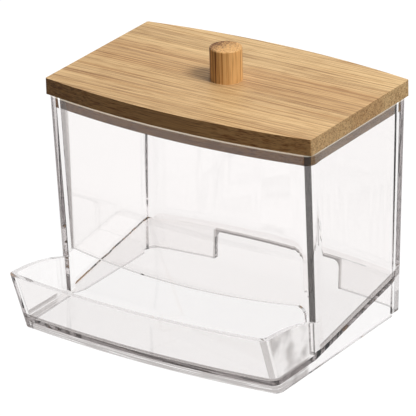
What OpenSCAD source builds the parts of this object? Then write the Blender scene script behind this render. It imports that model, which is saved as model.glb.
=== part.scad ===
// Cotton swab holder: a clear moulded bin with a sloped floor and a front tray,
// closed by a wooden lid that lifts off by a round knob.
// X runs across the front, Y runs to the back and Z is up, all in millimetres.
// The origin is on the table, at the middle of the space that the holder takes up.

/* [Bin] */
// Width over the rim
bin_w = 109.2; // [90:0.1:150]
// Depth over the rim, measured at the corners
bin_d = 62.2; // [50:0.1:90]
// Height of the rim above the table
bin_h = 81; // [60:1:120]
// How far the front and the back bulge past the corners
bin_bow = 5; // [1:0.5:10]
// Thickness of the moulding
wall = 2; // [1.2:0.1:3]
// Radius of the upright outer corners
corner_r = 3; // [2.5:0.1:6]
// Radius of the upright inner corners, where the wall is thickest
inner_corner_r = 5; // [2:0.5:8]
// Lean of the left and right walls, in degrees
side_draft = 0.6; // [0:0.1:1.5]
// Lean of the front and back walls, in degrees
face_draft = 2.6; // [0:0.1:4]

/* [Floor] */
// Height of the tray's floor above the table
floor_z = 5; // [3.5:0.5:8]
// Rise of the floor towards the back, in degrees
ramp_angle = 10.5; // [5:0.5:20]
// Height of the slanted strip between the floor and the back wall
cove_h = 5.5; // [3:0.5:8]
// Depth of that strip
cove_d = 3.6; // [2:0.1:6]
// Height of the gap under the back edge
heel_h = 1; // [0.5:0.1:2]
// Length of that gap along each side
heel_len = 6; // [3:0.5:10]
// Width of the notch in the back edge
notch_w = 51; // [20:1:80]
// Height of the notch
notch_h = 11.2; // [6:0.1:12]
// Radius of the notch's upper corners
notch_r = 2.5; // [1:0.5:5]

/* [Tray] */
// How far the tray's foot stands in front of the bin
tray_reach = 24.3; // [15:0.1:40]
// Height of the tray's front rim
tray_h = 23; // [15:0.5:35]
// How far that rim leans out past the foot
tray_lean = 8.1; // [3:0.1:12]
// Bulge of the tray's front
tray_bow = 3.6; // [1:0.1:8]
// Radius of the tray's upright inner corners
tray_inner_r = 2.5; // [1:0.5:5]
// Drop of the side rims where they meet the bin
rim_drop = 5.7; // [2:0.1:8]

/* [Outlet] */
// Height of the front wall's lower edge at its middle
outlet_h = 20.8; // [14:0.1:30]
// Rise of that edge from its middle to its ends
outlet_rise = 2.2; // [0.5:0.1:5]
// Width of the wall left on each side of the outlet
jamb_w = 4; // [3.5:0.1:12]
// Radius of the outlet's upper corners
outlet_r = 4; // [2:0.1:6]

/* [Lid] */
// Thickness of the board above the rim
lid_t = 6; // [4:0.1:10]
// How far the board stands out past the rim
lid_overhang = 0.4; // [0.1:0.1:3]
// Radius of the board's upright corners
lid_corner_r = 1.4; // [0.5:0.1:5]
// Depth of the plug that drops into the mouth
plug_t = 4.9; // [2:0.1:6]
// Gap between the plug and the walls
plug_gap = 0.4; // [0.3:0.1:1]

/* [Knob] */
// Diameter of the knob
knob_d = 11.5; // [9:0.1:18]
// Height of the knob above the lid
knob_h = 12; // [8:0.5:25]
// Diameter of the spigot that is glued into the lid
spigot_d = 6; // [4:0.1:7]
// Length of the spigot
spigot_len = 4; // [2:0.1:5]
// Room for the glue all round the spigot
glue_gap = 0.1; // [0.05:0.01:0.2]

/* [Hidden] */
$fn = 96;
bow_steps = 16;
corner_steps = 6;
rim_steps = 16;
over = 1;

// The bin's footprint on the table, with the lean of its walls taken off
foot_w = bin_w - 2 * bin_h * tan(side_draft);
foot_d = bin_d - 2 * bin_h * tan(face_draft);
foot_bow = bin_bow * foot_d / bin_d;

// The profile from front to back, all of it on the middle plane of the bin
tray_foot_y = -foot_d / 2 - tray_reach;
tray_rim_y = tray_foot_y - tray_lean;
front_y = tray_rim_y - tray_bow;
back_y = bin_d / 2 + bin_bow + lid_overhang;
mid_y = (front_y + back_y) / 2;

// The floor rises from the front wall to the cove, which meets the back wall
ramp_y = -foot_d / 2;
cove_z = floor_z + (foot_d - wall - cove_d) * tan(ramp_angle);
cove_top = cove_z + cove_h;
ramp_t = wall / cos(ramp_angle);
cove_t = wall / cos(atan(cove_d / cove_h));

// Where the corner of the back wall's inner face stands at a height
function inner_back_y(z) = foot_d / 2 + z * tan(face_draft) - wall;

// How far the front and the back of the bin bulge at a height
function bow_at(z) = foot_bow + (bin_bow - foot_bow) * z / bin_h;

// Radius of an arc that bulges by bow across a width
function bow_radius(w, bow) = (w * w / 4 + bow * bow) / (2 * bow);

// One quarter of an outline with a bulging face and a rounded corner,
// from the middle of the face to the start of the straight side
function quarter(w, d, bow, r) =
    let (big_r = bow_radius(w, bow))
    let (centre = big_r - d / 2 - bow)
    let (corner_x = w / 2 - r)
    let (corner_y = centre - sqrt(pow(big_r - r, 2) - pow(corner_x, 2)))
    let (turn = atan2(corner_x, centre - corner_y))
    concat(
        [for (i = [0:bow_steps])
            let (a = turn * i / bow_steps)
            [big_r * sin(a), centre - big_r * cos(a)]],
        [for (i = [1:corner_steps])
            let (a = turn + (90 - turn) * i / corner_steps)
            [corner_x + r * sin(a), corner_y - r * cos(a)]]
    );

function reversed(points) = [for (i = [len(points) - 1:-1:0]) points[i]];
function without_first(points) = [for (i = [1:len(points) - 1]) points[i]];

// A whole outline with both faces bulging
function bowed_outline(w, d, bow, r) =
    let (q = quarter(w, d, bow, r))
    concat(
        q,
        [for (p = reversed(without_first(q))) [p.x, -p.y]],
        [for (p = q) [-p.x, -p.y]],
        [for (p = reversed(without_first(q))) [-p.x, p.y]]
    );

// An outline with a bulging front, cut straight across at the back
function front_outline(w, reach, bow, r) =
    let (q = quarter(w, 2 * reach, bow, r))
    concat(
        [[-w / 2, 0]],
        [for (p = reversed(without_first(q))) [-p.x, p.y]],
        q,
        [[w / 2, 0]]
    );

// The bin's outline pulled in by some depth, from the table up to a height
module bin_block(inset, height, r) {
    w = foot_w - 2 * inset;
    d = foot_d - 2 * inset;
    grow_w = 2 * height * tan(side_draft);
    grow_d = 2 * height * tan(face_draft);
    linear_extrude(height = height, slices = 1, scale = [(w + grow_w) / w, (d + grow_d) / d])
        polygon(bowed_outline(w, d, foot_bow, r));
}

// The tray's outline pulled in by some depth, from the table up to its rim
module tray_block(inset, r) {
    w = foot_w - 2 * inset;
    reach = -tray_foot_y - inset;
    grow_w = 2 * tray_h * tan(side_draft);
    linear_extrude(
        height = tray_h,
        slices = 1,
        scale = [(w + grow_w) / w, (reach + tray_lean) / reach]
    )
        polygon(front_outline(w, reach, tray_bow, r));
}

// A side view, with points given as [y, z], drawn out across the whole width
module side_profile(points, width) {
    rotate([90, 0, 90])
        translate([0, 0, -width / 2])
            linear_extrude(height = width)
                polygon(points);
}

// Everything under the tray's side rims, which fall in an arc towards the bin
module under_rims() {
    run = -foot_d / 2 - tray_rim_y;
    arc_r = (run * run + rim_drop * rim_drop) / (2 * rim_drop);
    rim = [for (i = [0:rim_steps])
        let (y = run * i / rim_steps)
        [tray_rim_y + y, tray_h - arc_r + sqrt(arc_r * arc_r - y * y)]];
    side_profile(
        concat(
            [[front_y - over, -over], [front_y - over, tray_h]],
            rim,
            [[0, tray_h - rim_drop], [0, -over]]
        ),
        bin_w + 2 * over
    );
}

// A slice of the space in front of the cove, bulging like the back wall
module cove_slice(bottom, height, y, bow) {
    translate([0, front_y - over, bottom])
        linear_extrude(height = height)
            mirror([0, 1, 0])
                polygon(front_outline(bin_w + 2 * over, y - front_y + over, bow, inner_corner_r));
}

// The space in front of the cove and the back wall, moved back by a thickness
module before_cove(thickness) {
    thin = 0.01;
    foot = inner_back_y(cove_z) - cove_d + thickness;
    head = inner_back_y(cove_top) + thickness;
    cove_slice(-over, cove_top, foot, bow_at(cove_z));
    hull() {
        cove_slice(cove_z, thin, foot, bow_at(cove_z));
        cove_slice(cove_top, thin, head, bow_at(cove_top));
    }
    cove_slice(cove_top, bin_h, head + bin_d, bow_at(cove_top));
}

// The space above the floor, moved down and back by its thickness
module above_floor(flat_t, slope_t, back_t) {
    rise = (back_y - ramp_y) * tan(ramp_angle);
    intersection() {
        side_profile(
            [
                [front_y - over, floor_z - flat_t],
                [ramp_y, floor_z - max(flat_t, slope_t)],
                [back_y, floor_z - slope_t + rise],
                [back_y, bin_h + 2 * over],
                [front_y - over, bin_h + 2 * over]
            ],
            bin_w + 2 * over
        );
        before_cove(back_t);
    }
}

// The way through the front wall, from the sloped floor to the tray
module outlet() {
    half_w = foot_w / 2 - jamb_w;
    arc_r = bow_radius(2 * half_w, outlet_rise);
    edge = [for (i = [-rim_steps:rim_steps])
        let (x = half_w * i / rim_steps)
        [x, outlet_h + arc_r - sqrt(arc_r * arc_r - x * x)]];
    depth = bin_bow + wall + over;
    translate([0, depth - foot_d / 2 - bin_bow, 0])
        rotate([90, 0, 0])
            linear_extrude(height = 2 * depth)
                difference() {
                    rounded_top(2 * half_w, outlet_h + outlet_rise, outlet_r);
                    polygon(concat(edge, [[half_w, bin_h], [-half_w, bin_h]]));
                }
}

// A rectangle that stands on the X axis and has round upper corners
module rounded_top(w, h, r) {
    translate([-w / 2, 0])
        square([w, h - r]);
    translate([-w / 2 + r, 0])
        square([w - 2 * r, h]);
    for (side = [-1, 1])
        translate([side * (w / 2 - r), h - r])
            circle(r = r);
}

// The hollow that the swabs use: the bin, the outlet and the tray
module swab_space() {
    intersection() {
        union() {
            bin_block(wall, bin_h + over, inner_corner_r);
            outlet();
            difference() {
                tray_block(wall, tray_inner_r);
                bin_block(0, bin_h, corner_r);
            }
        }
        above_floor(0, 0, 0);
    }
}

// The hollow under the floor, open to the table
module underside() {
    difference() {
        union() {
            bin_block(wall, cove_top, inner_corner_r);
            tray_block(wall, tray_inner_r);
        }
        above_floor(wall, ramp_t, cove_t);
    }
}

// The notch in the back edge, open to the table
module back_notch() {
    translate([0, foot_d / 2 + foot_bow + over, -over])
        rotate([90, 0, 0])
            linear_extrude(height = foot_bow + 2 * wall)
                rounded_top(notch_w, notch_h + over, notch_r);
}

// The low gap under the back edge and the two back corners
module heel_gap() {
    translate([-bin_w, foot_d / 2 - heel_len, -over])
        cube([2 * bin_w, heel_len + bin_bow + over, heel_h + over]);
}

module bin() {
    color([0.9, 0.93, 0.95, 0.35])
        difference() {
            union() {
                bin_block(0, bin_h, corner_r);
                intersection() {
                    tray_block(0, corner_r);
                    under_rims();
                }
            }
            swab_space();
            underside();
            heel_gap();
            back_notch();
        }
}

// The lid: a board over the rim and a plug below it, cut from one piece
module lid() {
    plug_inset = wall + plug_gap + plug_t * tan(face_draft);
    color([0.72, 0.52, 0.32])
        difference() {
            union() {
                translate([0, 0, bin_h])
                    linear_extrude(height = lid_t)
                        polygon(bowed_outline(
                            bin_w + 2 * lid_overhang, bin_d + 2 * lid_overhang, bin_bow, lid_corner_r));
                translate([0, 0, bin_h - plug_t])
                    linear_extrude(height = plug_t)
                        polygon(bowed_outline(
                            bin_w - 2 * plug_inset, bin_d - 2 * plug_inset, bin_bow, inner_corner_r));
            }
            translate([0, 0, bin_h + lid_t - spigot_len - glue_gap])
                cylinder(h = spigot_len + glue_gap + over, d = spigot_d + 2 * glue_gap);
        }
}

// The knob: a short round peg with a thinner spigot below it
module knob() {
    color([0.78, 0.58, 0.36])
        translate([0, 0, bin_h + lid_t]) {
            cylinder(h = knob_h, d = knob_d);
            translate([0, 0, -spigot_len])
                cylinder(h = spigot_len + over, d = spigot_d);
        }
}

// Brings the middle of the space that the holder takes up onto the origin
module centred() {
    translate([0, -mid_y, 0])
        children();
}

centred() bin();
centred() lid();
centred() knob();
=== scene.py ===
"""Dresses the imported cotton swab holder: a clear moulded bin, a bamboo lid and its knob.

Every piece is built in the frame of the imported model, in metres: +X runs across the
front, +Y to the back and +Z up, with the origin on the table.
"""

import math

import bpy
from bpy.props import FloatProperty, FloatVectorProperty, PointerProperty
from mathutils import Matrix, Vector


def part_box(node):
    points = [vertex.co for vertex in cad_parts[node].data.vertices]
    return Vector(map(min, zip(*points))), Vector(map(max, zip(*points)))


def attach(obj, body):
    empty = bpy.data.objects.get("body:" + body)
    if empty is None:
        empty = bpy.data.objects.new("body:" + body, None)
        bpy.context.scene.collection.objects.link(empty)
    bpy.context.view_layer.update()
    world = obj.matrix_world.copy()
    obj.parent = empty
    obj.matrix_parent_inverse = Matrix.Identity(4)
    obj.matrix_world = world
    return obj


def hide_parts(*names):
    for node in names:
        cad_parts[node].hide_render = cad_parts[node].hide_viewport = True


bl_info = {
    "name": "Cotton Swab Holder",
    "version": (1, 0, 0),
    "blender": (4, 5, 0),
    "location": "3D View > Sidebar > Holder",
    "description": "Builds a clear cotton swab holder with a bamboo lid",
    "category": "Add Mesh",
}

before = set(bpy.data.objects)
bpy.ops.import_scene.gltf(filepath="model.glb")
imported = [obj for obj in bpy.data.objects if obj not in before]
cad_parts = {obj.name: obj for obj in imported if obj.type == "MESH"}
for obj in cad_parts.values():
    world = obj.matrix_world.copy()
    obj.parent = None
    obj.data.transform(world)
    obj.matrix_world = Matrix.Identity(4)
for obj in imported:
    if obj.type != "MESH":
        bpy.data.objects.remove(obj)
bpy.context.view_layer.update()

MM = 0.001

# The camera was fitted to the corners of the lid and of the tray.
CAMERA_AZIMUTH = math.radians(34.332)
CAMERA_ELEVATION = math.radians(23.66)
CAMERA_ROLL = math.radians(-1.421)
CAMERA_DISTANCE = 1559.495 * MM
CAMERA_ASIDE = 7.388 * MM
CAMERA_ABOVE = 6.536 * MM
CAMERA_AIM_HEIGHT = 45 * MM
FOCAL_PX = 4435.032
FRAME_PX = 416
SENSOR_MM = 36
CLIP_START = 0.01
CLIP_END = 50.0

# How closely points are merged, and which edges count as flat, sharp or smooth.
MERGE = 0.002 * MM
FLAT_ANGLE = math.radians(0.05)
SHARP_ANGLE = math.radians(35)
SMOOTH_ANGLE = math.radians(50)

# The sloped floor of the bin, where its upper face leaves the tray.
RAMP_START = Vector((0.0, -13.96 * MM, 5 * MM))
RAMP_ANGLE = math.radians(10.5)

# Where the tray starts in front of the bin, and how softly it does.
TRAY_BACK = -18 * MM
TRAY_FADE = 4 * MM

# Half the width and the height of the notch in the back wall, and the width of its rim.
NOTCH_SIDE = 25.5 * MM
NOTCH_TOP = 11.2 * MM
NOTCH_RIM = 0.5 * MM

# Heights of the painted shade at the foot of the tray and of the painted dark line at its top, and
# the scale of the noise that streaks that shade.
FOOT = (0.4 * MM, 6.4 * MM)
FOOT_LINE = (5.6 * MM, 6.3 * MM)
FOOT_SOFT = 0.4 * MM
FOOT_STREAKS = (60, 60, 2400)

# Heights above the sloped floor of the painted dark band at its rounding to the side walls, and of
# two painted dark lines in it.
SLOPE_BAND = (0.0, 2.8 * MM)
SLOPE_BAND_SOFT = 0.2 * MM
SLOPE_LINES = ((0.4 * MM, 0.9 * MM), (2.3 * MM, 2.9 * MM))
SLOPE_LINE_SOFT = 0.3 * MM

# How far sideways the surface points on a round corner and on a side wall, how far back
# on the back wall, and how far up where the painted shade ends.
CORNER_TURN = (0.22, 0.79)
CORNER_SOFT = 0.04
BEHIND_TURN = (0.20, 0.85)
BEHIND_SOFT = 0.05
SIDE_WALL_TURN = (0.90, 0.95)
BACK_WALL_TURN = (0.90, 0.95)
UPRIGHT_TURN = (0.50, 0.36)

# How dark the painted shade is at each place of the moulding, from 0 to 1.
LEFT_CORNER_DARK = 0.3
RIGHT_CORNER_DARK = 1.0
TRAY_CORNER_DARK = 0.4
BEHIND_DARK = 0.8
FOOT_DARK = 0.62
FOOT_LINE_DARK = 0.75
TRAY_WALL_DARK = 0.35
SLOPE_DARK = 0.75
SLOPE_BAND_DARK = 0.7
NOTCH_DARK = 0.5

# The clear plastic: its refraction, how it swallows light on the way, and the painted glow of its
# rim.
PLASTIC_IOR = 1.57
PLASTIC_RUB = (260, 260, 90)
PLASTIC_ROUGHNESS = [(0.52, 0.0), (0.80, 0.03)]
TRAY_SHADE_PATCHES = (90, 90, 90)
PLASTIC_DEPTH_COLOUR = (0.82, 0.80, 0.80, 1.0)
PLASTIC_DEPTH_DENSITY = 36.0
DEEPEST_SHADE = 0.08
RIM_GLOW_COLOUR = (1.0, 0.94, 0.76, 1.0)
RIM_GLOW = 0.34

# Light that is caught in a wall of the moulding turns back many times before it leaves.
INNER_BOUNCES = 28

# Layers of the bamboo's grain: scale along the fibres and across them, detail, roughness.
GRAIN = {
    "fibres": (26, 2900, 2.0, 0.65),
    "streaks": (9, 1150, 3.0, 0.65),
    "bands": (4, 120, 2.0, 0.5),
    "lines": (12, 1700, 1.0, 0.5),
    "pores": (90, 3000, 1.0, 0.5),
}
GRAIN_WEIGHTS = {"fibres": 0.46, "streaks": 0.38, "bands": 0.16}
MIDDLE_TONE = 0.58
LINE_TONE = (0.72, 0.61, 0.50)
PORE_TONE = (0.62, 0.52, 0.42)
# Painted shade: the tones that darken the board's front and back faces and the plug under the
# board.
SIDE_SHADE_TONE = (0.94, 0.76, 0.59)
PLUG_SHADE_TONE = (0.42, 0.38, 0.31)
WOOD_ROUGHNESS = [(0.3, 0.42), (0.7, 0.56)]
WOOD_BUMP = 0.35
WOOD_BUMP_DEPTH = 0.1 * MM

# The lid's underside, and the strips across its depth that are darker than its back.
BOARD_BOTTOM = 81 * MM
LID_STRIPS = (
    (-60 * MM, 3 * MM, (0.93, 0.90, 0.88)),
    (10 * MM, 25 * MM, (0.85, 0.78, 0.73)),
)
STRIP_SOFT = 5 * MM

# Across the knob a painted shade runs from dark at the left to light at the right; the lid has
# none.
KNOB_SHADE_SLOPE = 24.0
LID_SHADE_SLOPE = 0.0

# Axes that the fibres run along.
ALONG_X = 0
ALONG_Z = 2

# How finely round shapes and rounded edges are divided.
BOW_SEGMENTS = 768
HOLE_SEGMENTS = 64
KNOB_SEGMENTS = 96
RIM_ROUND_SEGMENTS = 2
BOARD_CORNER_SEGMENTS = 5
PLUG_CORNER_SEGMENTS = 8
BOARD_ROUND_SEGMENTS = 3
KNOB_ROUND_SEGMENTS = 4

# The studio: the floor, the lamps as place and size, and the brightness of the ceiling.
FLOOR_SIZE = 6.0
FLOOR_DROP = 0.2 * MM
FLOOR_GLOW = [(0.33, 1.0), (0.50, 0.40)]
FLOOR_IN_GLOSS = 0.5
FLOOR_PAINT = (0.06, 0.06, 0.06, 1.0)
LAMP_AIM = (0.0, 0.0, 0.06)
KEY_LAMP = ((0.80, -0.02, 1.05), (0.40, 0.40))
TOP_LAMP = ((0.05, 0.40, 1.30), (0.90, 0.70))
CEILING = [(0.02, 1.0), (0.12, 0.92), (0.40, 0.74), (0.80, 0.45)]
SOFT_LIGHT = (0.16, 0.16, 0.16)
WHITE = (1.0, 1.0, 1.0)


def size(name, default, description):
    """A length that the sidebar can change."""
    return FloatProperty(
        name=name, description=description, default=default, subtype="DISTANCE", unit="LENGTH"
    )


def tone(name, default, description):
    """A colour that the sidebar can change."""
    return FloatVectorProperty(
        name=name, description=description, default=default, subtype="COLOR", size=3, min=0, max=1
    )


def power(name, default, description):
    """A lamp's power that the sidebar can change."""
    return FloatProperty(name=name, description=description, default=default, min=0, unit="POWER")


class HolderSizes(bpy.types.PropertyGroup):
    """Sizes of the lid and the knob, and the roundings of the edges."""

    rim_round: size("Rim Rounding", 0.35 * MM, "Radius on the edges of the clear moulding")
    board_thickness: size("Board Thickness", 6 * MM, "Thickness of the lid above the rim")
    lid_bow: size("Lid Bow", 5 * MM, "Bulge of the lid's front and back past its corners")
    lid_corner: size("Lid Corner", 1.4 * MM, "Radius of the board's upright corners")
    lid_round: size("Lid Rounding", 0.45 * MM, "Radius on the edges of the board")
    plug_inset: size("Plug Inset", 3.02 * MM, "Distance from the board's side to the plug's side")
    plug_corner: size("Plug Corner", 5 * MM, "Radius of the plug's upright corners")
    spigot_hole: size("Spigot Hole", 6.2 * MM, "Diameter of the hole for the knob's spigot")
    spigot_hole_depth: size("Spigot Hole Depth", 4.1 * MM, "Depth of that hole")
    knob_height: size("Knob Height", 12 * MM, "Height of the knob above the lid")
    spigot: size("Spigot", 6 * MM, "Diameter of the knob's spigot")
    knob_round: size("Knob Rounding", 0.4 * MM, "Radius on the top edge of the knob")


class HolderColours(bpy.types.PropertyGroup):
    """Colours of the holder's materials."""

    bamboo_light: tone("Light Bamboo", (0.765, 0.530, 0.268), "The palest fibres of the board")
    bamboo_dark: tone("Dark Bamboo", (0.36, 0.20, 0.078), "The darkest fibres of the board")
    knob_light: tone("Light Knob", (0.76, 0.44, 0.17), "The palest fibres of the knob")
    # The darkest knob colour is also the painted shade at the knob's left side.
    knob_dark_and_shade: tone("Dark Knob", (0.12, 0.036, 0.003), "The darkest fibres of the knob")
    plastic: tone("Clear Plastic", (0.985, 0.972, 0.968), "Tint of the clear moulding")
    # The colour of the painted shade on the clear moulding.
    shade: tone("Thick Plastic", (0.30, 0.27, 0.26), "Tint where a thick edge bends the light")


class StageSettings(bpy.types.PropertyGroup):
    """Lamps of the studio."""

    key_power: power("Key Lamp", 13.5, "Power of the lamp at the right")
    top_power: power("Top Lamp", 6.0, "Power of the large lamp overhead")


def deselect_all():
    """Leaves no object selected and none active."""
    for obj in bpy.context.selected_objects:
        obj.select_set(False)
    bpy.context.view_layer.objects.active = None


def make_active(obj):
    """Makes one object the only selected one and the active one."""
    deselect_all()
    obj.select_set(True)
    bpy.context.view_layer.objects.active = obj


def merged_copy(node, name):
    """A piece of its own with the merged mesh of a CAD node."""
    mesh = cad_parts[node].data.copy()
    mesh.name = name
    mesh.materials.clear()
    piece = bpy.data.objects.new(name, mesh)
    bpy.context.scene.collection.objects.link(piece)
    make_active(piece)
    bpy.ops.object.mode_set(mode="EDIT")
    bpy.ops.mesh.select_all(action="SELECT")
    bpy.ops.mesh.customdata_custom_splitnormals_clear()
    bpy.ops.mesh.remove_doubles(threshold=MERGE)
    bpy.ops.mesh.dissolve_degenerate(threshold=MERGE)
    bpy.ops.mesh.dissolve_limited(angle_limit=FLAT_ANGLE)
    bpy.ops.object.mode_set(mode="OBJECT")
    return piece


def select_sharp_edges(piece, wanted):
    """Enters edit mode with the sharp edges selected for which wanted(a, b) is true."""
    make_active(piece)
    bpy.ops.object.mode_set(mode="EDIT")
    bpy.ops.mesh.select_mode(type="EDGE")
    bpy.ops.mesh.select_all(action="DESELECT")
    bpy.ops.mesh.edges_select_sharp(sharpness=SHARP_ANGLE)
    bpy.ops.object.mode_set(mode="OBJECT")
    mesh = piece.data
    chosen = [
        edge
        for edge in mesh.edges
        if edge.select and wanted(*(mesh.vertices[i].co for i in edge.vertices))
    ]
    for part in (mesh.vertices, mesh.edges, mesh.polygons):
        part.foreach_set("select", [False] * len(part))
    for edge in chosen:
        edge.select = True
        for i in edge.vertices:
            mesh.vertices[i].select = True
    bpy.ops.object.mode_set(mode="EDIT")
    if not chosen:
        raise RuntimeError("no edge to round on " + piece.name)


def round_edges(piece, radius, segments, wanted):
    """Rounds the sharp edges for which wanted(a, b) is true."""
    select_sharp_edges(piece, wanted)
    bpy.ops.mesh.bevel(offset=radius, segments=segments, affect="EDGES", clamp_overlap=True)
    bpy.ops.object.mode_set(mode="OBJECT")


def select_faces(piece, wanted):
    """Enters edit mode with the faces selected for which wanted(face) is true."""
    make_active(piece)
    bpy.ops.object.mode_set(mode="EDIT")
    bpy.ops.mesh.select_mode(type="FACE")
    bpy.ops.mesh.select_all(action="DESELECT")
    bpy.ops.object.mode_set(mode="OBJECT")
    for face in piece.data.polygons:
        face.select = wanted(face)
    bpy.ops.object.mode_set(mode="EDIT")


def apply_modifier(piece, kind, **settings):
    """Adds a modifier to a piece and makes its result the piece's own mesh."""
    make_active(piece)
    bpy.ops.object.modifier_add(type=kind)
    modifier = piece.modifiers[-1]
    for key, value in settings.items():
        setattr(modifier, key, value)
    bpy.ops.object.modifier_apply(modifier=modifier.name)


def finish_piece(piece, material, body, node):
    """Smooths a piece, gives it its material, hangs it under its body and hides the CAD node whose
    place it takes.
    """
    make_active(piece)
    bpy.ops.object.shade_smooth_by_angle(angle=SMOOTH_ANGLE)
    apply_modifier(piece, "WEIGHTED_NORMAL", mode="FACE_AREA", weight=100, keep_sharp=True)
    piece.data.materials.clear()
    piece.data.materials.append(material)
    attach(piece, body)
    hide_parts(node)


def upright(a, b):
    """Whether the edge from a to b rises by more than a millimetre."""
    return abs(a.z - b.z) > MM


def add_cylinder(name, segments, radius, depth, place):
    """A cylinder that stands upright round a place, with its object at the origin."""
    deselect_all()
    bpy.ops.mesh.primitive_cylinder_add(
        vertices=segments, radius=radius, depth=depth, location=place
    )
    cylinder = bpy.context.object
    cylinder.name = name
    bpy.ops.object.transform_apply(location=True, rotation=False, scale=False)
    return cylinder


def bowed_board(name, low, high, bow, corner, corner_segments):
    """A board with a bulging front and back, whose box at its corners is low to high."""
    width = high.x - low.x
    depth = high.y - low.y
    radius = (width**2 / 4 + bow**2) / (2 * bow)
    centre = (low + high) / 2
    disc_place = (0.0, radius - depth / 2 - bow, centre.z)
    board = add_cylinder(name, BOW_SEGMENTS, radius, high.z - low.z, disc_place)

    # The two sides and the back half of the disc are cut off, and the front is mirrored.
    cuts = (
        ((-width / 2, 0, 0), (-1, 0, 0), True),
        ((width / 2, 0, 0), (1, 0, 0), True),
        ((0, 0, 0), (0, 1, 0), False),
    )
    bpy.ops.object.mode_set(mode="EDIT")
    for point, outwards, fill in cuts:
        bpy.ops.mesh.select_all(action="SELECT")
        bpy.ops.mesh.bisect(plane_co=point, plane_no=outwards, use_fill=fill, clear_outer=True)
    bpy.ops.object.mode_set(mode="OBJECT")
    apply_modifier(board, "MIRROR", use_axis=(False, True, False), merge_threshold=MERGE)
    make_active(board)
    bpy.ops.object.mode_set(mode="EDIT")
    bpy.ops.mesh.select_all(action="SELECT")
    bpy.ops.transform.translate(value=(0, centre.y, 0))
    bpy.ops.mesh.dissolve_limited(angle_limit=FLAT_ANGLE)
    bpy.ops.mesh.select_all(action="SELECT")
    bpy.ops.mesh.normals_make_consistent(inside=False)
    bpy.ops.object.mode_set(mode="OBJECT")
    round_edges(board, corner, corner_segments, upright)
    return board


def join_shapes(piece, other, operation):
    """Adds another closed shape to a piece, or cuts it out, and removes that shape."""
    apply_modifier(piece, "BOOLEAN", operation=operation, object=other, solver="EXACT")
    bpy.data.objects.remove(other, do_unlink=True)


class Nodes:
    """A short way to lay out and link shader nodes."""

    SPACING = 180

    def __init__(self, tree):
        self.tree = tree
        self.tree.nodes.clear()
        self.column = 0

    def add(self, kind, sockets=None, **settings):
        """A node whose sockets are set to values or linked to other nodes' outputs."""
        node = self.tree.nodes.new(kind)
        node.location = (self.column * self.SPACING, 0)
        self.column += 1
        for key, value in settings.items():
            setattr(node, key, value)
        for key, value in (sockets or {}).items():
            if isinstance(value, bpy.types.NodeSocket):
                self.tree.links.new(value, node.inputs[key])
            else:
                node.inputs[key].default_value = value
        return node

    def ramp(self, fac, stops):
        """A colour ramp, with stops as (position, colour) or (position, grey)."""
        node = self.add("ShaderNodeValToRGB", {"Fac": fac})
        elements = node.color_ramp.elements
        while len(elements) < len(stops):
            elements.new(1.0)
        for element, (position, colour) in zip(elements, stops):
            element.position = position
            grey = isinstance(colour, float)
            element.color = (colour, colour, colour, 1.0) if grey else (*colour, 1.0)
        return node.outputs["Color"]

    def math(self, operation, a, b=0.0, c=0.0, clamp=False):
        node = self.add(
            "ShaderNodeMath", {0: a, 1: b, 2: c}, operation=operation, use_clamp=clamp
        )
        return node.outputs[0]

    def times(self, *factors):
        product = factors[0]
        for factor in factors[1:]:
            product = self.math("MULTIPLY", product, factor)
        return product

    def largest(self, *values):
        result = values[0]
        for value in values[1:]:
            result = self.math("MAXIMUM", result, value)
        return result

    def blend(self, mask, off, on):
        """The number off where the mask is 0 and the number on where it is 1."""
        return self.math("MULTIPLY_ADD", mask, on - off, off)

    def step(self, value, start, end):
        """0 where the value is at start, 1 where it is at end, and smooth between."""
        node = self.add(
            "ShaderNodeMapRange",
            {"Value": value, "From Min": start, "From Max": end},
            interpolation_type="SMOOTHSTEP",
        )
        return node.outputs["Result"]

    def band(self, value, low, high, soft):
        """1 between low and high, fading to 0 over a soft distance outside."""
        rise = self.step(value, low - soft, low)
        fall = self.step(value, high + soft, high)
        return self.math("MULTIPLY", rise, fall)

    def mix(self, fac, a, b, blend="MIX"):
        node = self.add("ShaderNodeMix", data_type="RGBA", blend_type=blend)
        for index, value in ((0, fac), (6, a), (7, b)):
            if isinstance(value, bpy.types.NodeSocket):
                self.tree.links.new(value, node.inputs[index])
            elif index == 0:
                node.inputs[index].default_value = value
            else:
                node.inputs[index].default_value = (*value, 1.0)
        return node.outputs[2]

    def split(self, vector):
        return self.add("ShaderNodeSeparateXYZ", {"Vector": vector}).outputs

    def noise(self, vector, scale, detail=2.0, rough=0.5):
        """Noise with its own scale along X, Y and Z."""
        stretched = self.add("ShaderNodeMapping", {"Vector": vector, "Scale": scale})
        node = self.add(
            "ShaderNodeTexNoise",
            {
                "Vector": stretched.outputs["Vector"],
                "Scale": 1.0,
                "Detail": detail,
                "Roughness": rough,
            },
        )
        return node.outputs["Fac"]


def new_material(name):
    """A material and the layout of its nodes."""
    material = bpy.data.materials.new(name)
    material.use_nodes = True
    return material, Nodes(material.node_tree)


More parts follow.
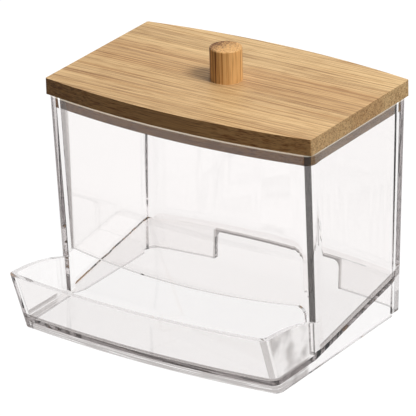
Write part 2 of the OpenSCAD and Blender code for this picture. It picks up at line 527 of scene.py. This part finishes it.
def painted_shade_mask(nodes, position, normal):
    """Painted shade on the moulding where it looks dark: its corners, its foot, the notch and the
    floor's edge.
    """
    place = nodes.split(position)
    turn = nodes.split(normal)
    inside = nodes.add("ShaderNodeNewGeometry").outputs["Backfacing"]
    outside = nodes.math("SUBTRACT", 1.0, inside)
    sideways = nodes.times(turn["X"], nodes.math("SIGN", place["X"]))
    right = nodes.step(place["X"], -1 * MM, 1 * MM)
    left = nodes.math("SUBTRACT", 1.0, right)
    tray = nodes.step(place["Y"], TRAY_BACK, TRAY_BACK - TRAY_FADE)
    side_wall = nodes.step(sideways, *SIDE_WALL_TURN)

    # Painted shade on the round corners, seen from outside, and on the wall just behind them at
    # the left.
    corner = nodes.times(
        nodes.band(sideways, *CORNER_TURN, CORNER_SOFT),
        outside,
        nodes.blend(right, LEFT_CORNER_DARK, RIGHT_CORNER_DARK),
        nodes.blend(tray, 1.0, TRAY_CORNER_DARK),
    )
    behind = nodes.band(sideways, *BEHIND_TURN, BEHIND_SOFT)
    behind = nodes.times(behind, inside, left, BEHIND_DARK)

    # Painted shade, in streaks, at the foot of the tray, where the floor meets the front wall, and
    # a painted dark line at its top.
    streaks = nodes.noise(position, FOOT_STREAKS, 2.0, 0.6)
    foot = nodes.band(place["Z"], *FOOT, FOOT_SOFT)
    foot = nodes.times(foot, nodes.step(streaks, 0.20, 0.60), FOOT_DARK)
    line = nodes.times(nodes.band(place["Z"], *FOOT_LINE, FOOT_SOFT), FOOT_LINE_DARK)
    foot = nodes.times(nodes.largest(foot, line), tray, outside)

    # Patches of painted shade on the side walls of the tray, for the light of the corners behind
    # them that these walls bend.
    shade_patches = nodes.noise(position, TRAY_SHADE_PATCHES, 2.0, 0.5)
    tray_wall_shade = nodes.times(nodes.step(shade_patches, 0.40, 0.62), side_wall, tray, TRAY_WALL_DARK)

    # A painted dark band and two painted dark lines at the rounding between the sloped floor and
    # the side walls.
    run = nodes.math("SUBTRACT", place["Y"], RAMP_START.y)
    drop = nodes.math("MULTIPLY_ADD", run, -math.tan(RAMP_ANGLE), -RAMP_START.z)
    above = nodes.math("ADD", drop, place["Z"])
    slope = nodes.largest(
        *(nodes.band(above, *heights, SLOPE_LINE_SOFT) for heights in SLOPE_LINES),
        nodes.times(nodes.band(above, *SLOPE_BAND, SLOPE_BAND_SOFT), SLOPE_BAND_DARK),
    )
    behind_tray = nodes.step(run, 0.0, 3 * MM)
    slope = nodes.times(slope, side_wall, behind_tray, outside, SLOPE_DARK)

    # A painted dark line at the rim of the notch in the back wall.
    aside = nodes.math("ABSOLUTE", place["X"])
    notch = nodes.times(
        nodes.step(aside, NOTCH_SIDE + NOTCH_RIM + 0.3 * MM, NOTCH_SIDE + NOTCH_RIM),
        nodes.step(place["Z"], NOTCH_TOP + NOTCH_RIM + 0.4 * MM, NOTCH_TOP + NOTCH_RIM + 0.1 * MM),
        nodes.step(place["Y"], 0.0, 10 * MM),
        nodes.step(nodes.math("ABSOLUTE", turn["Y"]), *BACK_WALL_TURN),
        NOTCH_DARK,
    )

    # Level faces, such as the floor and the rims, stay clear.
    upright_face = nodes.step(nodes.math("ABSOLUTE", turn["Z"]), *UPRIGHT_TURN)
    return nodes.times(nodes.largest(corner, behind, foot, tray_wall_shade, slope, notch), upright_face)


def clear_plastic(colours):
    """Moulded clear plastic: glossy, with painted shade where a thick rounded edge bends the
    light, and a painted glow at its rim.
    """
    material, nodes = new_material("clear_plastic")
    coordinates = nodes.add("ShaderNodeTexCoord")
    position = coordinates.outputs["Object"]
    rub = nodes.noise(position, PLASTIC_RUB, 4.0, 0.65)
    roughness = nodes.ramp(rub, PLASTIC_ROUGHNESS)
    dark = painted_shade_mask(nodes, position, coordinates.outputs["Normal"])
    # Painted shade: the tint turns grey where the mask is up to 0.6, and nearly black above that.
    deepest = tuple(DEEPEST_SHADE * value for value in colours.shade)
    tint = nodes.mix(nodes.step(dark, 0.0, 0.6), tuple(colours.plastic), tuple(colours.shade))
    tint = nodes.mix(nodes.step(dark, 0.6, 1.0), tint, deepest)

    # A painted glow, emitted from a band just under the lid, stands in for light that has
    # travelled inside the wall and leaves it as a bright line there.
    height = nodes.split(position)["Z"]
    rim = nodes.step(height, BOARD_BOTTOM - 0.9 * MM, BOARD_BOTTOM - 0.6 * MM)
    shader = nodes.add(
        "ShaderNodeBsdfPrincipled",
        {
            "Base Color": tint,
            "Roughness": roughness,
            "IOR": PLASTIC_IOR,
            "Transmission Weight": 1.0,
            "Emission Color": RIM_GLOW_COLOUR,
            "Emission Strength": nodes.times(rim, RIM_GLOW),
        },
    )
    depth = nodes.add(
        "ShaderNodeVolumeAbsorption",
        {"Color": PLASTIC_DEPTH_COLOUR, "Density": PLASTIC_DEPTH_DENSITY},
    )
    nodes.add(
        "ShaderNodeOutputMaterial",
        {"Surface": shader.outputs["BSDF"], "Volume": depth.outputs["Volume"]},
    )
    return material


def bamboo(name, light, dark, along, shade_slope, side_shade=0.0, strips=()):
    """Laminated bamboo, its fibres running along one axis of the piece, with painted shade that
    can darken it across X, on its front and back faces and below the board.
    """
    material, nodes = new_material(name)
    coordinates = nodes.add("ShaderNodeTexCoord")
    position = coordinates.outputs["Object"]
    place = nodes.split(position)
    facing = nodes.split(coordinates.outputs["Normal"])
    grain = {}
    for layer, (lengthwise, across, detail, rough) in GRAIN.items():
        scale = [across] * 3
        scale[along] = lengthwise
        grain[layer] = nodes.noise(position, scale, detail, rough)

    # The fibres, with thin dark lines and pores.
    # Painted shade: the colour starts lower at smaller X, so the piece darkens towards the left,
    # away from the key lamp.
    mixed = nodes.times(place["X"], shade_slope)
    for layer, weight in GRAIN_WEIGHTS.items():
        mixed = nodes.math("MULTIPLY_ADD", grain[layer], weight, mixed)
    middle = tuple(a + MIDDLE_TONE * (b - a) for a, b in zip(dark, light))
    colour = nodes.ramp(mixed, [(0.39, tuple(dark)), (0.465, middle), (0.555, tuple(light))])
    line = nodes.ramp(grain["lines"], [(0.55, WHITE), (0.64, LINE_TONE)])
    colour = nodes.mix(1.0, colour, line, "MULTIPLY")
    pore = nodes.ramp(grain["pores"], [(0.56, WHITE), (0.70, PORE_TONE)])
    colour = nodes.mix(1.0, colour, pore, "MULTIPLY")

    # The strips of the board, the painted shade on its front and back faces, and the painted shade
    # on the plug below it.
    for start, end, strip_tone in strips:
        strip = nodes.band(place["Y"], start, end, STRIP_SOFT)
        colour = nodes.mix(strip, colour, strip_tone, "MULTIPLY")
    side = nodes.step(nodes.math("ABSOLUTE", facing["Y"]), 0.5, 0.9)
    colour = nodes.mix(nodes.times(side, side_shade), colour, SIDE_SHADE_TONE, "MULTIPLY")
    plug_shade = nodes.step(place["Z"], BOARD_BOTTOM, BOARD_BOTTOM - 0.2 * MM)
    colour = nodes.mix(plug_shade, colour, PLUG_SHADE_TONE, "MULTIPLY")

    height = nodes.math("MULTIPLY_ADD", grain["pores"], -0.4, nodes.times(grain["fibres"], 0.6))
    bump = nodes.add(
        "ShaderNodeBump",
        {"Strength": WOOD_BUMP, "Distance": WOOD_BUMP_DEPTH, "Height": height},
    )
    shader = nodes.add(
        "ShaderNodeBsdfPrincipled",
        {
            "Base Color": colour,
            "Roughness": nodes.ramp(grain["streaks"], WOOD_ROUGHNESS),
            "Specular IOR Level": 0.3,
            "Normal": bump.outputs["Normal"],
        },
    )
    nodes.add("ShaderNodeOutputMaterial", {"Surface": shader.outputs["BSDF"]})
    return material


class HOLDER_OT_bin(bpy.types.Operator):
    """Builds the clear bin with its sloped floor and its front tray"""

    bl_idname = "swab_holder.bin"
    bl_label = "Clear Bin"

    def execute(self, context):
        sizes = context.scene.holder_sizes
        colours = context.scene.holder_colours
        piece = merged_copy("bin", "clear_bin")
        round_edges(piece, sizes.rim_round, RIM_ROUND_SEGMENTS, lambda a, b: True)
        finish_piece(piece, clear_plastic(colours), "holder", "bin")
        return {"FINISHED"}


class HOLDER_OT_lid(bpy.types.Operator):
    """Builds the bamboo board that closes the bin, with the plug under it"""

    bl_idname = "swab_holder.lid"
    bl_label = "Bamboo Lid"

    def execute(self, context):
        sizes = context.scene.holder_sizes
        colours = context.scene.holder_colours
        low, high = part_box("lid")
        bow = Vector((0.0, sizes.lid_bow, 0.0))
        underside = high.z - sizes.board_thickness
        board_low = Vector((low.x, low.y, underside)) + bow
        board_high = high - bow
        piece = bowed_board(
            "lid_board",
            board_low,
            board_high,
            sizes.lid_bow,
            sizes.lid_corner,
            BOARD_CORNER_SEGMENTS,
        )
        round_edges(
            piece, sizes.lid_round, BOARD_ROUND_SEGMENTS, lambda a, b: not upright(a, b)
        )

        # The plug reaches a little way into the board before the two are joined.
        inset = Vector((sizes.plug_inset, sizes.plug_inset, 0.0))
        plug = bowed_board(
            "lid_plug",
            Vector((board_low.x, board_low.y, low.z)) + inset,
            Vector((board_high.x, board_high.y, underside + MM)) - inset,
            sizes.lid_bow,
            sizes.plug_corner,
            PLUG_CORNER_SEGMENTS,
        )
        join_shapes(piece, plug, "UNION")

        knob_low, knob_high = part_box("knob")
        hole = add_cylinder(
            "spigot_hole",
            HOLE_SEGMENTS,
            sizes.spigot_hole / 2,
            2 * sizes.spigot_hole_depth,
            (0.0, (knob_low.y + knob_high.y) / 2, high.z),
        )
        join_shapes(piece, hole, "DIFFERENCE")
        material = bamboo(
            "lid_bamboo",
            colours.bamboo_light,
            colours.bamboo_dark,
            ALONG_X,
            LID_SHADE_SLOPE,
            side_shade=1.0,
            strips=LID_STRIPS,
        )
        finish_piece(piece, material, "lid", "lid")
        return {"FINISHED"}


class HOLDER_OT_knob(bpy.types.Operator):
    """Builds the round knob and its spigot"""

    bl_idname = "swab_holder.knob"
    bl_label = "Knob"

    def execute(self, context):
        sizes = context.scene.holder_sizes
        colours = context.scene.holder_colours
        low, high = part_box("knob")
        centre = (low + high) / 2
        foot = high.z - sizes.knob_height
        radius = (high.x - low.x) / 2
        piece = add_cylinder(
            "knob_peg",
            KNOB_SEGMENTS,
            radius,
            sizes.knob_height,
            (centre.x, centre.y, high.z - sizes.knob_height / 2),
        )

        # The spigot grows out of the knob's lower face.
        select_faces(piece, lambda face: face.normal.z < -0.9)
        bpy.ops.mesh.inset(thickness=radius - sizes.spigot / 2, use_even_offset=True)
        bpy.ops.mesh.extrude_region_move(TRANSFORM_OT_translate={"value": (0, 0, low.z - foot)})
        bpy.ops.object.mode_set(mode="OBJECT")
        round_edges(
            piece,
            sizes.knob_round,
            KNOB_ROUND_SEGMENTS,
            lambda a, b: min(a.z, b.z) > foot + MM,
        )
        material = bamboo(
            "knob_bamboo", colours.knob_light, colours.knob_dark_and_shade, ALONG_Z, KNOB_SHADE_SLOPE
        )
        finish_piece(piece, material, "lid", "knob")
        return {"FINISHED"}


class HOLDER_OT_stage(bpy.types.Operator):
    """Sets up the floor, the lamps, the background and the camera"""

    bl_idname = "swab_holder.stage"
    bl_label = "Studio Stage"

    def execute(self, context):
        scene = context.scene
        add_floor()
        add_lamps(scene.stage_settings)
        add_world(scene)
        add_camera(scene)
        scene.view_settings.view_transform = "Standard"
        scene.cycles.max_bounces = INNER_BOUNCES
        scene.cycles.glossy_bounces = INNER_BOUNCES
        scene.cycles.transmission_bounces = INNER_BOUNCES
        return {"FINISHED"}


def add_floor():
    """A floor that looks white, and shows white in the plastic close to the holder."""
    deselect_all()
    bpy.ops.mesh.primitive_plane_add(size=FLOOR_SIZE, location=(0.0, 0.0, -FLOOR_DROP))
    floor = bpy.context.object
    floor.name = "studio_floor"
    material, nodes = new_material("pale_floor")
    path = nodes.add("ShaderNodeLightPath").outputs
    place = nodes.add("ShaderNodeTexCoord").outputs["Object"]
    distance = nodes.add("ShaderNodeVectorMath", {0: place}, operation="LENGTH").outputs["Value"]
    glow = nodes.ramp(distance, FLOOR_GLOW)
    glow = nodes.mix(path["Is Camera Ray"], glow, WHITE)
    seen = nodes.math("MULTIPLY_ADD", path["Is Glossy Ray"], FLOOR_IN_GLOSS, path["Is Camera Ray"])
    seen = nodes.math("ADD", seen, path["Is Transmission Ray"], clamp=True)
    emission = nodes.add("ShaderNodeEmission", {"Color": glow, "Strength": seen})
    paint = nodes.add("ShaderNodeBsdfDiffuse", {"Color": FLOOR_PAINT})
    both = nodes.add("ShaderNodeAddShader", {0: paint.outputs[0], 1: emission.outputs[0]})
    nodes.add("ShaderNodeOutputMaterial", {"Surface": both.outputs[0]})
    floor.data.materials.append(material)


def add_area_lamp(name, place, size, strength):
    """A lamp that the camera doesn't see, aimed at the holder."""
    light = bpy.data.lights.new(name, "AREA")
    light.shape = "RECTANGLE"
    light.size, light.size_y = size
    light.energy = strength
    lamp = bpy.data.objects.new(name, light)
    lamp.location = place
    lamp.rotation_euler = (Vector(LAMP_AIM) - Vector(place)).to_track_quat("-Z", "Y").to_euler()
    lamp.visible_camera = False
    lamp.visible_transmission = False
    bpy.context.scene.collection.objects.link(lamp)


def add_lamps(settings):
    """A lamp at the right that casts the knob's shadow, and a larger one overhead."""
    add_area_lamp("key_lamp", *KEY_LAMP, settings.key_power)
    add_area_lamp("top_lamp", *TOP_LAMP, settings.top_power)


def add_world(scene):
    """White behind the holder, and a ceiling that darkens upwards for mirrored and bent rays."""
    world = bpy.data.worlds.new("studio")
    scene.world = world
    world.use_nodes = True
    nodes = Nodes(world.node_tree)
    direction = nodes.add("ShaderNodeTexCoord").outputs["Generated"]
    height = nodes.split(direction)["Z"]
    shade = nodes.ramp(height, CEILING)
    path = nodes.add("ShaderNodeLightPath").outputs
    mirrored = nodes.math("MAXIMUM", path["Is Glossy Ray"], path["Is Transmission Ray"])
    soft = nodes.mix(mirrored, SOFT_LIGHT, shade)
    colour = nodes.mix(path["Is Camera Ray"], soft, WHITE)
    background = nodes.add("ShaderNodeBackground", {"Color": colour, "Strength": 1.0})
    nodes.add("ShaderNodeOutputWorld", {"Surface": background.outputs[0]})


def add_camera(scene):
    """The camera of the photograph, turned, tilted and shifted as it was fitted."""
    low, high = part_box("lid")
    az, el, roll = CAMERA_AZIMUTH, CAMERA_ELEVATION, CAMERA_ROLL
    back = Vector((math.sin(az) * math.cos(el), -math.cos(az) * math.cos(el), math.sin(el)))
    level = Vector((math.cos(az), math.sin(az), 0.0))
    upwards = back.cross(level)
    right = math.cos(roll) * level + math.sin(roll) * upwards
    up = math.cos(roll) * upwards - math.sin(roll) * level
    aim = Vector((0.0, (low.y + high.y) / 2, CAMERA_AIM_HEIGHT))
    place = aim + back * CAMERA_DISTANCE - right * CAMERA_ASIDE - up * CAMERA_ABOVE
    data = bpy.data.cameras.new("photo_camera")
    camera = bpy.data.objects.new("photo_camera", data)
    scene.collection.objects.link(camera)
    turn = Matrix((right, up, back)).transposed().to_4x4()
    camera.matrix_world = Matrix.Translation(place) @ turn
    data.sensor_width = SENSOR_MM
    data.lens = FOCAL_PX * SENSOR_MM / FRAME_PX
    data.clip_start = CLIP_START
    data.clip_end = CLIP_END
    scene.camera = camera


class HOLDER_PT_sidebar(bpy.types.Panel):
    """Lists the steps that build the holder"""

    bl_idname = "HOLDER_PT_sidebar"
    bl_label = "Cotton Swab Holder"
    bl_space_type = "VIEW_3D"
    bl_region_type = "UI"
    bl_category = "Holder"

    def draw(self, context):
        layout = self.layout
        for operator in OPERATORS:
            layout.operator(operator.bl_idname)
        scene = context.scene
        for group in (scene.holder_sizes, scene.holder_colours, scene.stage_settings):
            for name in group.bl_rna.properties.keys():
                if name not in ("rna_type", "name"):
                    layout.prop(group, name)


OPERATORS = (HOLDER_OT_stage, HOLDER_OT_bin, HOLDER_OT_lid, HOLDER_OT_knob)
CLASSES = (HolderSizes, HolderColours, StageSettings, *OPERATORS, HOLDER_PT_sidebar)


def register():
    """Adds the operators, the panel and the settings to Blender."""
    for cls in CLASSES:
        bpy.utils.register_class(cls)
    bpy.types.Scene.holder_sizes = PointerProperty(type=HolderSizes)
    bpy.types.Scene.holder_colours = PointerProperty(type=HolderColours)
    bpy.types.Scene.stage_settings = PointerProperty(type=StageSettings)


def unregister():
    del bpy.types.Scene.stage_settings
    del bpy.types.Scene.holder_colours
    del bpy.types.Scene.holder_sizes
    for cls in reversed(CLASSES):
        bpy.utils.unregister_class(cls)


def main():
    """Builds the stage and the pieces through their operators."""
    register()
    bpy.ops.swab_holder.stage()
    bpy.ops.swab_holder.bin()
    bpy.ops.swab_holder.lid()
    bpy.ops.swab_holder.knob()


if __name__ == "__main__":
    main()
